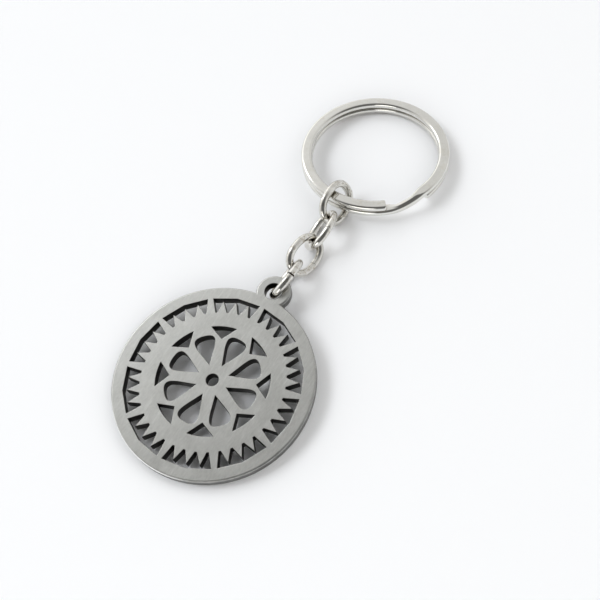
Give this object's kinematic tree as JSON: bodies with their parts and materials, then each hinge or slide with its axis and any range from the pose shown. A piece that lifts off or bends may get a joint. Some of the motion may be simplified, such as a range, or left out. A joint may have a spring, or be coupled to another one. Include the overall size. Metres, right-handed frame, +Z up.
{
  "type": "keychain",
  "caption": "Metal keychain: a pierced round pendant with a toothed band and rosette, a short wire-link chain and a split ring for keys.",
  "frame": {"origin": "on the table, under the middle of the object's box", "axes": "+Z up from the table, +Y along the chain from the pendant to the split ring, +X to the right seen from above"},
  "size_m": [0.04, 0.0976, 0.0071],
  "materials": {
    "pendant_steel": "fine satin grain, slightly warm grey",
    "chain_plating": "polished nickel plating"
  },
  "bodies": {
    "pendant": {"pendant": "pendant_steel"},
    "link_1": {"link_1": "chain_plating"},
    "link_2": {"link_2": "chain_plating"},
    "link_3": {"link_3": "chain_plating"},
    "link_4": {"link_4": "chain_plating"},
    "split_ring": {"split_ring": "chain_plating"}
  },
  "joints": [
    {"name": "eyelet_swing", "type": "hinge", "parent": "pendant", "child": "link_1", "pos_m": [0.00023, -0.00739, 0.00342], "axis": [0, -0.0506, 0.9987], "range_deg": [-60, 60]},
    {"name": "link_1_swing", "type": "hinge", "parent": "link_1", "child": "link_2", "pos_m": [0.00035, 0.0011, 0.0031], "axis": [0.4928, 0.0265, 0.8697], "range_deg": [-90, 90]},
    {"name": "link_2_swing", "type": "hinge", "parent": "link_2", "child": "link_3", "pos_m": [0.00061, 0.00786, 0.0026], "axis": [0.662, -0.0875, -0.7443], "range_deg": [-90, 90]},
    {"name": "link_3_swing", "type": "hinge", "parent": "link_3", "child": "link_4", "pos_m": [-0.00012, 0.0146, 0.0032], "axis": [0.6952, -0.0299, 0.7182], "range_deg": [-90, 90]},
    {"name": "ring_flip", "type": "hinge", "parent": "link_4", "child": "split_ring", "pos_m": [-0.00019, 0.01808, 0.00351], "axis": [-1, 0, 0], "range_deg": [-150, 150]}
  ]
}
